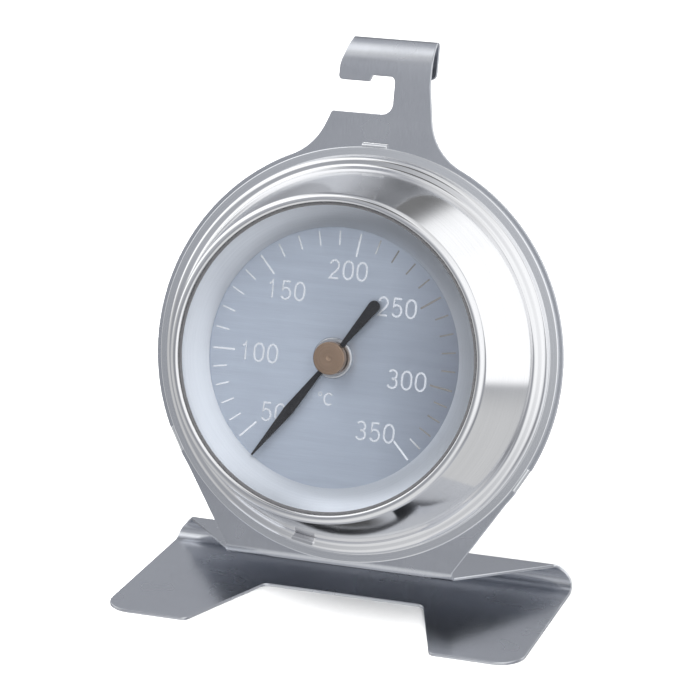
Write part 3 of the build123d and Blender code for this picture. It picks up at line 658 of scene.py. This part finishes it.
right = side(NECK_RIGHT, SLANT_RIGHT, ROOT_R_RIGHT)
left = [(-x, u) for x, u in side(NECK_LEFT, SLANT_LEFT, ROOT_R_LEFT)][::-1]
hook = rounded([
    (-NECK_LEFT[0] - SLANT_LEFT, 1 - SLOT_LOW), (-NECK_LEFT[0], -SLOT_LOW, 0.4),
    (SLOT_END, -SLOT_LOW, 1.8), (SLOT_END, -NOTCH_HIGH, 1.0),
    (NOTCH_TOP, -NOTCH_HIGH, 0.3), (NOTCH_FOOT, -SLOT_HIGH, 0.3),
    (-FINGER_LEFT, -SLOT_HIGH, 0.7), (-FINGER_LEFT, -ROLL_FOOT, 6.0),
    (-HOOK_LEFT_TOP, -ROLL_FOOT - LEAD_RUN, 3.0), (-HOOK_LEFT_TOP, LIP_TIP_U, 1.0),
    (NECK_RIGHT[0], LIP_TIP_U, 1.0), (NECK_RIGHT[0], -NECK_RIGHT[1]),
])[1:]

vent_flat = (VENT_LENGTH - VENT_WIDTH) / 2
vent_ends = (
    arc((vent_flat, 0), VENT_WIDTH / 2, -90, 90, 12) + arc((-vent_flat, 0), VENT_WIDTH / 2, 90, 270, 12)
)
vents = []
for k in range(4):
    turn = pi / 4 + k * pi / 2
    out = Vector((cos(turn), sin(turn)))
    along = Vector((-out.y, out.x))
    vents.append([tuple(out * (VENT_R + b) + along * a) for a, b in vent_ends])
# The top tab goes through a slot, because the neck leaves no edge to notch there.
slot_half, slot_far, slot_near = TAB_WIDTH / 2 + TAB_PLAY, TAB_R + TAB_PLAY, TAB_R - WALL - TAB_PLAY
top_slot = [
    (-slot_half, -slot_near), (slot_half, -slot_near), (slot_half, -slot_far), (-slot_half, -slot_far),
]

stand = bmesh.new()
slab(stand, [right + left + hook, top_slot, *vents], -HALF_SHEET, HALF_SHEET, SHEET_EASE)
lip_start = Vector((
    disc_y + LIP_END * sin(LEAN) + (ROLL_DEPTH + HALF_SHEET) * cos(LEAN),
    disc_z + LIP_END * cos(LEAN) - (ROLL_DEPTH + HALF_SHEET) * sin(LEAN),
))
bend(stand, lip_start, 90 - LEAN * 180 / pi, [
    (LIP_TOP - LIP_END, 0), (CURL_RUN, 180 - degrees(ROLL_LEAD)), (LEAD_RUN, degrees(ROLL_LEAD)),
    (ROLL_FOOT - leg_end, 0),
    (shelf_u - bend_u, bend_turn), (fold_u - shelf_u, 0), (floor_u - fold_u, SHELF_SLOPE - 180),
    (foot_u - floor_u, 0),
], LIP_TIP_U)
stand_piece = piece("stand_sheet", stand, STAND, matrix=Matrix.Identity(4))
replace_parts(stand_piece, "stand_plate")

# ---------------------------------------------------------------------------
# Case, window and dial
# ---------------------------------------------------------------------------

inner_cone = (CONE_FOOT[0] - WALL + 0.1, CONE_FOOT[1] - WALL)
case = bmesh.new()
revolve(case, rounded([
    (STEP_R - WALL, PLATE_GAP), (FLANGE_R, PLATE_GAP, 0.1), (FLANGE_R, WALL, 0.2), (STEP_R, WALL, 0.12),
    (STEP_R - STEP_DRAFT, LEDGE_TOP, LEDGE_FILLET), (*CONE_FOOT, CONE_FILLET), (*CONE_TOP, RIM_FILLET),
    (LIP_R, CONE_TOP[1], LIP_FILLET), (LIP_R, LIP_BOTTOM), (CONE_TOP[0] - WALL, LIP_BOTTOM),
    (*inner_cone, CONE_FILLET + WALL), (STEP_R - STEP_DRAFT - WALL, LEDGE_TOP - WALL, LEDGE_FILLET - WALL),
], 12))
# Each tab leaves the flange's edge, folds back through the plate and folds in behind it.
tab_start_r = FLANGE_R - 0.15
tab_half = TAB_WIDTH / 2
out_run = TAB_R - WALL / 2 - TAB_BEND_R - tab_start_r
through = SHEET + WALL + 2 * PLATE_GAP - 2 * TAB_BEND_R
back_run = TAB_REACH - TAB_BEND_R
tab_bend = (TAB_BEND_R * pi / 2, -90)
tab_run = out_run + through + back_run + pi * TAB_BEND_R
tab_blank = rounded([
    (-tab_half, 0), (tab_half, 0), (tab_half, tab_run, 0.5), (-tab_half, tab_run, 0.5),
])
for angle in TAB_ANGLES:
    tab = bmesh.new()
    slab(tab, [tab_blank], -WALL / 2, WALL / 2, SHEET_EASE)
    bend(tab, (tab_start_r, WALL / 2), 0, [
        (out_run, 0), tab_bend, (through, 0), tab_bend, (back_run, 0),
    ], 0)
    turn = Matrix.Rotation(radians(angle), 4, "Z")
    for vert in tab.verts:
        across, out, high = vert.co
        vert.co = turn @ Vector((out, across, high))
    join(case, tab)
pad = bmesh.new()
pad_half = (PAD_TO_R - PAD_FROM_R) / 2
slab(pad, [rounded([
    (-pad_half, -PAD_WIDTH / 2, PAD_CORNER_R), (pad_half, -PAD_WIDTH / 2, PAD_CORNER_R),
    (pad_half, PAD_WIDTH / 2, PAD_CORNER_R), (-pad_half, PAD_WIDTH / 2, PAD_CORNER_R),
])], LEDGE_TOP - 0.2, PAD_TOP, 0.09, 4)
turn = Matrix.Rotation(radians(PAD_ANGLE), 4, "Z") @ Matrix.Translation((PAD_FROM_R + pad_half, 0, 0))
bmesh.ops.transform(pad, matrix=turn, verts=pad.verts[:])
join(case, pad)
case_piece = piece("case_shell", case, CASE)
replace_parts(case_piece, "bezel_case")

glass = bmesh.new()
revolve(glass, rounded([
    (0, LENS_BOTTOM), (LENS_R, LENS_BOTTOM, 0.1), (LENS_R, LENS_TOP, 0.1), (0, LENS_TOP),
], 3), 192)
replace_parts(piece("window", glass, GLASS), "lens_glass")

seal = bmesh.new()
seal_bottom = LENS_TOP + 0.002
revolve(seal, rounded([
    (SEAL_R, seal_bottom, 0.06), (LENS_R, seal_bottom), (LENS_R, LIP_BOTTOM), (SEAL_R, LIP_BOTTOM, 0.06),
], 3))
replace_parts(piece("window_seal", seal, RUBBER), "lens_seal")

ring = bmesh.new()
ring_top, ring_flat_bottom, ring_out_r = LENS_BOTTOM - 0.02, LENS_BOTTOM - 0.33, LENS_R - 0.02
revolve(ring, rounded([
    (DIAL_VIEW_R + 0.06, DIAL_TOP), (DIAL_VIEW_R, DIAL_TOP + 0.06, 0.04), (DIAL_VIEW_R, DIAL_TOP + 0.2, 0.08),
    (LIP_R, ring_top), (ring_out_r, ring_top), (ring_out_r, ring_flat_bottom),
    (LIP_R, ring_flat_bottom), (DIAL_VIEW_R + 0.4, DIAL_TOP),
], 5))
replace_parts(piece("reflector", ring, RING), "reflector_ring")

plate = bmesh.new()
dial_bottom = DIAL_TOP - DIAL_SHEET
revolve(plate, rounded([
    (DIAL_HOLE_R, dial_bottom), (DIAL_R, dial_bottom), (DIAL_R, DIAL_TOP, 0.05),
    (DIAL_HOLE_R, DIAL_TOP, 0.05),
], 3), 192)
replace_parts(piece("dial", plate, DIAL_METAL_PAINTED_SHADE), "dial_plate")

bush = bmesh.new()
revolve(bush, rounded([
    (BUSH_BORE_R, BUSH_BOTTOM), (BUSH_R, BUSH_BOTTOM), (BUSH_R, DIAL_TOP), (BUSH_FLANGE_R, DIAL_TOP, 0.05),
    (BUSH_FLANGE_R, BUSH_FLANGE_TOP, 0.33), (BUSH_BORE_R, BUSH_FLANGE_TOP),
], 6), 96)
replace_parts(piece("dial_bush", bush, NICKEL), "front_bush")

hub = bmesh.new()
revolve(hub, rounded([
    (ARBOR_R + 0.02, POINTER_TOP), (HUB_R - 0.1, POINTER_TOP, 0.05), (HUB_R, POINTER_TOP + 0.2, 0.1),
    (HUB_R, HUB_TOP, 0.2), (DIMPLE_R, HUB_TOP, 0.1), (0, HUB_TOP - DIMPLE_DEPTH), (0, HUB_TOP - HUB_CAP),
    (ARBOR_R + 0.02, HUB_TOP - HUB_CAP),
], 5), 128)
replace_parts(piece("hub", hub, BRASS, TURNING), "pointer_hub")

# ---------------------------------------------------------------------------
# Dial print: graduations, numerals and the unit
# ---------------------------------------------------------------------------


def ribbon(bm, path, width, closed=False):
    """Adds a flat stroke of even width along a path."""
    count = len(path)
    low, high = [], []
    for i, point in enumerate(path):
        here = Vector(point)
        back = Vector(path[i - 1]) if i or closed else None
        on = Vector(path[(i + 1) % count]) if i < count - 1 or closed else None
        first = (here - back).normalized() if back is not None else (on - here).normalized()
        second = (on - here).normalized() if on is not None else first
        left_side = Vector((-first.y - second.y, first.x + second.x)).normalized()
        miter = 1 / max(0.5, left_side.dot(Vector((-second.y, second.x))))
        for sign, edge in ((1, low), (-1, high)):
            spot = here + left_side * (sign * width / 2 * miter)
            edge.append([bm.verts.new((*spot, z)) for z in (PRINT_LOW, PRINT_HIGH)])
    last = count if closed else count - 1
    for i in range(last):
        k = (i + 1) % count
        a, b, c, d = low[i], low[k], high[k], high[i]
        for quad in ((a[1], b[1], c[1], d[1]), (a[0], d[0], c[0], b[0]),
                     (a[0], b[0], b[1], a[1]), (c[0], d[0], d[1], c[1])):
            bm.faces.new(quad)
    if not closed:
        bm.faces.new((low[0][0], low[0][1], high[0][1], high[0][0]))
        bm.faces.new((low[-1][0], high[-1][0], high[-1][1], low[-1][1]))


def oval(cx, cy, rx, ry, start, end, step=15):
    """Points of an elliptic arc, angles in degrees anticlockwise from +x."""
    return [(cx + rx * a, cy + ry * b) for a, b in arc((0, 0), 1, start, end, step)]


# Strokes of each figure in a box 1 wide and 1 high, measured to the middle of the stroke.
GLYPHS = {
    "0": [(oval(0.5, 0.62, 0.5, 0.38, 0, 180) + oval(0.5, 0.38, 0.5, 0.38, 180, 360), True)],
    "1": [([(0.16, 0.78), (0.38, 0.86), (0.52, 1.0), (0.52, 0.0)], False)],
    "2": [(oval(0.5, 0.72, 0.46, 0.28, 170, -20)
           + [(0.78, 0.46), (0.3, 0.2), (0.06, 0.0), (0.98, 0.0)], False)],
    "3": [(oval(0.47, 0.745, 0.43, 0.255, 150, -78) + [(0.4, 0.52)], False),
          (oval(0.46, 0.27, 0.5, 0.27, 90, -155), False)],
    "5": [([(0.92, 1.0), (0.18, 1.0), (0.1, 0.5)] + oval(0.47, 0.32, 0.5, 0.32, 125, -150), False)],
    "C": [(oval(0.52, 0.5, 0.48, 0.5, 48, 312), False)],
}


def write(bm, text, x, v, high, wide, gap, stroke):
    """Writes figures centred on a place on the dial."""
    left_edge = x - (len(text) * wide + (len(text) - 1) * gap) / 2
    for i, figure in enumerate(text):
        for path, closed in GLYPHS[figure]:
            spots = [(left_edge + i * (wide + gap) + a * wide, v + (b - 0.5) * high) for a, b in path]
            ribbon(bm, spots, stroke, closed)


numerals = bmesh.new()
for text, (x, v) in NUMERALS.items():
    write(numerals, text, x, v, NUMERAL_HIGH, NUMERAL_WIDE, NUMERAL_GAP, NUMERAL_STROKE)
piece("dial_numerals", numerals, PRINT, sharp=20)

unit = bmesh.new()
write(unit, "C", *UNIT_AT, UNIT_HIGH, NUMERAL_WIDE, 0, UNIT_STROKE)
ribbon(unit, oval(*DEGREE_AT, DEGREE_R, DEGREE_R, 0, 330, 30), DEGREE_STROKE, True)
piece("dial_unit", unit, PRINT, sharp=20)



def tick(bm, angle, inner, width):
    """Adds a radial mark at an angle clockwise from the top of the dial."""
    turn = radians(angle)
    ribbon(bm, [(r * sin(turn), r * cos(turn)) for r in (inner, TICK_END_R)], width)


ticks = bmesh.new()
angles = [MAJORS[value] for value in sorted(MAJORS)]
for this, after in zip(angles, angles[1:]):
    tick(ticks, this, TICK_LONG_R, TICK_LONG_WIDTH)
    for k in range(1, TICKS_PER_MAJOR):
        tick(ticks, this + (after - this) * k / TICKS_PER_MAJOR, TICK_SHORT_R, TICK_SHORT_WIDTH)
tick(ticks, angles[-1], TICK_LONG_R, TICK_LONG_WIDTH)
piece("dial_ticks", ticks, TICK_PRINT_PAINTED_SHADE, sharp=20)

# ---------------------------------------------------------------------------
# Floor, studio and camera
# ---------------------------------------------------------------------------

floor_mesh = bmesh.new()
bmesh.ops.create_grid(floor_mesh, x_segments=1, y_segments=1, size=6.0)
floor_data = bpy.data.meshes.new("floor")
floor_mesh.to_mesh(floor_data)
floor_mesh.free()
floor = bpy.data.objects.new("floor", floor_data)
bpy.context.scene.collection.objects.link(floor)
floor.location.z = -0.00002
paper = Nodes("floor_paper")
fibre = paper.noise(paper.coords(), (900, 900, 900), 3, 0.6)
paper.set(
    Base_Color=paper.ramp(fibre, *between((0.9, 0.9, 0.9), (0.92, 0.92, 0.92))), Roughness=0.9,
)
floor_data.materials.append(paper.material)
floor.visible_glossy = False
floor.visible_transmission = False
floor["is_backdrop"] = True


def studio():
    """White studio for the eye and for shadows, and soft boxes for what the metal mirrors."""
    world = bpy.data.worlds.new("studio")
    bpy.context.scene.world = world
    world.use_nodes = True
    tree = world.node_tree
    tree.nodes.clear()

    def add(kind, links, **settings):
        node = tree.nodes.new(kind)
        for key, value in settings.items():
            setattr(node, key, value)
        for key, value in links.items():
            if isinstance(value, bpy.types.NodeSocket):
                tree.links.new(value, node.inputs[key])
            else:
                node.inputs[key].default_value = value
        return node

    way = add("ShaderNodeTexCoord", {}).outputs["Generated"]
    height = add("ShaderNodeSeparateXYZ", {0: way}).outputs[2]
    level = add("ShaderNodeMapRange", {0: height, 1: -1.0, 2: 1.0, 3: 0.0, 4: 1.0}).outputs[0]
    ramp = add("ShaderNodeValToRGB", {0: level})
    stops = (
        (0.0, 0.50), (0.12, 0.55), (0.2, 0.48), (0.28, 0.33), (0.4, 0.42), (0.57, 0.35), (0.65, 0.5),
        (0.8, 0.38), (0.88, 0.30), (0.93, 0.28), (0.965, 0.5), (1.0, 0.55),
    )
    elements = ramp.color_ramp.elements
    while len(elements) < len(stops):
        elements.new(0.5)
    for element, (position, value) in zip(elements, stops):
        element.position = position
        element.color = (value * 0.93, value * 0.96, value * 1.03, 1)
    colour = ramp.outputs[0]
    # Direction, inner and outer half angle in degrees, brightness; a later one covers an earlier.
    for way_to, inner, outer, value in (
        ((0.55, 0.55, -0.63), 12, 30, 0.66),
        ((-0.25, 0.62, -0.74), 9, 17, 0.08),
        ((0.10, -0.75, -0.65), 15, 45, 0.85),
        ((0.36, 0.20, 0.91), 15, 35, 0.85),
        ((-0.93, -0.25, -0.25), 15, 42, 0.65),
        ((0.45, 0.78, 0.40), 8, 28, 1.2),
        ((0.0, 0.87, 0.49), 4, 13, 0.2),
        ((0.70, 0.70, 0.12), 22, 25.5, 1.25),
        ((0.60, -0.68, 0.42), 20, 57, 1.15),
        ((0.80, -0.10, 0.58), 14, 32, 1.15),
        ((0.25, -0.40, 0.88), 8, 22, 1.0),
        ((-0.50, -0.35, 0.79), 10, 29, 1.35),
        ((-0.10, -0.58, 0.81), 6, 14, 0.12),
        ((-0.85, 0.15, 0.50), 20, 38, 1.3),
    ):
        aim = Vector(way_to).normalized()
        near = add("ShaderNodeVectorMath", {0: way, 1: aim}, operation="DOT_PRODUCT").outputs["Value"]
        share = add(
            "ShaderNodeMapRange",
            {0: near, 1: cos(radians(outer)), 2: cos(radians(inner)), 3: 0.0, 4: 1.0},
            interpolation_type="SMOOTHSTEP",
        ).outputs[0]
        glow = (value * 0.98, value * 0.99, value, 1)
        colour = add("ShaderNodeMix", {0: share, 6: colour, 7: glow}, data_type="RGBA").outputs[2]
    boxes = add("ShaderNodeBackground", {0: colour, 1: 1.0})
    plain = add("ShaderNodeBackground", {0: (1, 1, 1, 1), 1: 0.55})
    sight = add("ShaderNodeBackground", {0: (1, 1, 1, 1), 1: 1.0})
    path = add("ShaderNodeLightPath", {})
    soft = add("ShaderNodeMixShader", {
        0: path.outputs["Is Diffuse Ray"], 1: boxes.outputs[0], 2: plain.outputs[0],
    })
    shown = add("ShaderNodeMixShader", {
        0: path.outputs["Is Camera Ray"], 1: soft.outputs[0], 2: sight.outputs[0],
    })
    add("ShaderNodeOutputWorld", {0: shown.outputs[0]})


def lamp(name, place, size, watts):
    """A soft box that lights the scene without showing in the metal."""
    data = bpy.data.lights.new(name, "AREA")
    data.shape = "DISK"
    data.size = size
    data.energy = watts
    obj = bpy.data.objects.new(name, data)
    bpy.context.scene.collection.objects.link(obj)
    obj.location = place
    aim = Vector((0, 0, 0.03)) - Vector(place)
    obj.rotation_mode = "QUATERNION"
    obj.rotation_quaternion = aim.to_track_quat("-Z", "Y")
    obj.visible_glossy = False
    obj.visible_transmission = False
    obj.visible_camera = False


studio()
for lamp_name, lamp_place, lamp_size, lamp_watts in (
    ("key", (-0.35, -0.35, 0.9), 0.7, 14),
    ("fill", (0.6, -0.5, 0.7), 0.6, 6),
    ("rear", (0.1, 0.9, 0.8), 0.8, 8),
):
    lamp(lamp_name, lamp_place, lamp_size, lamp_watts)

CAMERA_TURN, CAMERA_RISE, CAMERA_ROLL = radians(18.0), radians(17.21), radians(0.92)
CAMERA_AWAY = 0.4682
SENSOR, FOCAL_LENGTH = 36, 150.6
SHIFT_X, SHIFT_Y = -6 / 700, 5 / 700
camera_data = bpy.data.cameras.new("camera")
camera_data.sensor_width = SENSOR
camera_data.lens = FOCAL_LENGTH
camera_data.shift_x = SHIFT_X
camera_data.shift_y = SHIFT_Y
camera_data.clip_start = 0.01
camera_data.clip_end = 50
camera = bpy.data.objects.new("camera", camera_data)
bpy.context.scene.collection.objects.link(camera)
back = Vector((sin(CAMERA_TURN) * cos(CAMERA_RISE), -cos(CAMERA_TURN) * cos(CAMERA_RISE), sin(CAMERA_RISE)))
level = Vector((cos(CAMERA_TURN), sin(CAMERA_TURN), 0))
upright = back.cross(level)
right_way = cos(CAMERA_ROLL) * level + sin(CAMERA_ROLL) * upright
up_way = cos(CAMERA_ROLL) * upright - sin(CAMERA_ROLL) * level
camera.matrix_world = (
    Matrix.Translation(CENTRE + CAMERA_AWAY * back)
    @ Matrix((right_way, up_way, back)).transposed().to_4x4()
)
bpy.context.scene.camera = camera
bpy.context.scene.view_settings.view_transform = "Standard"

low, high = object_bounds()
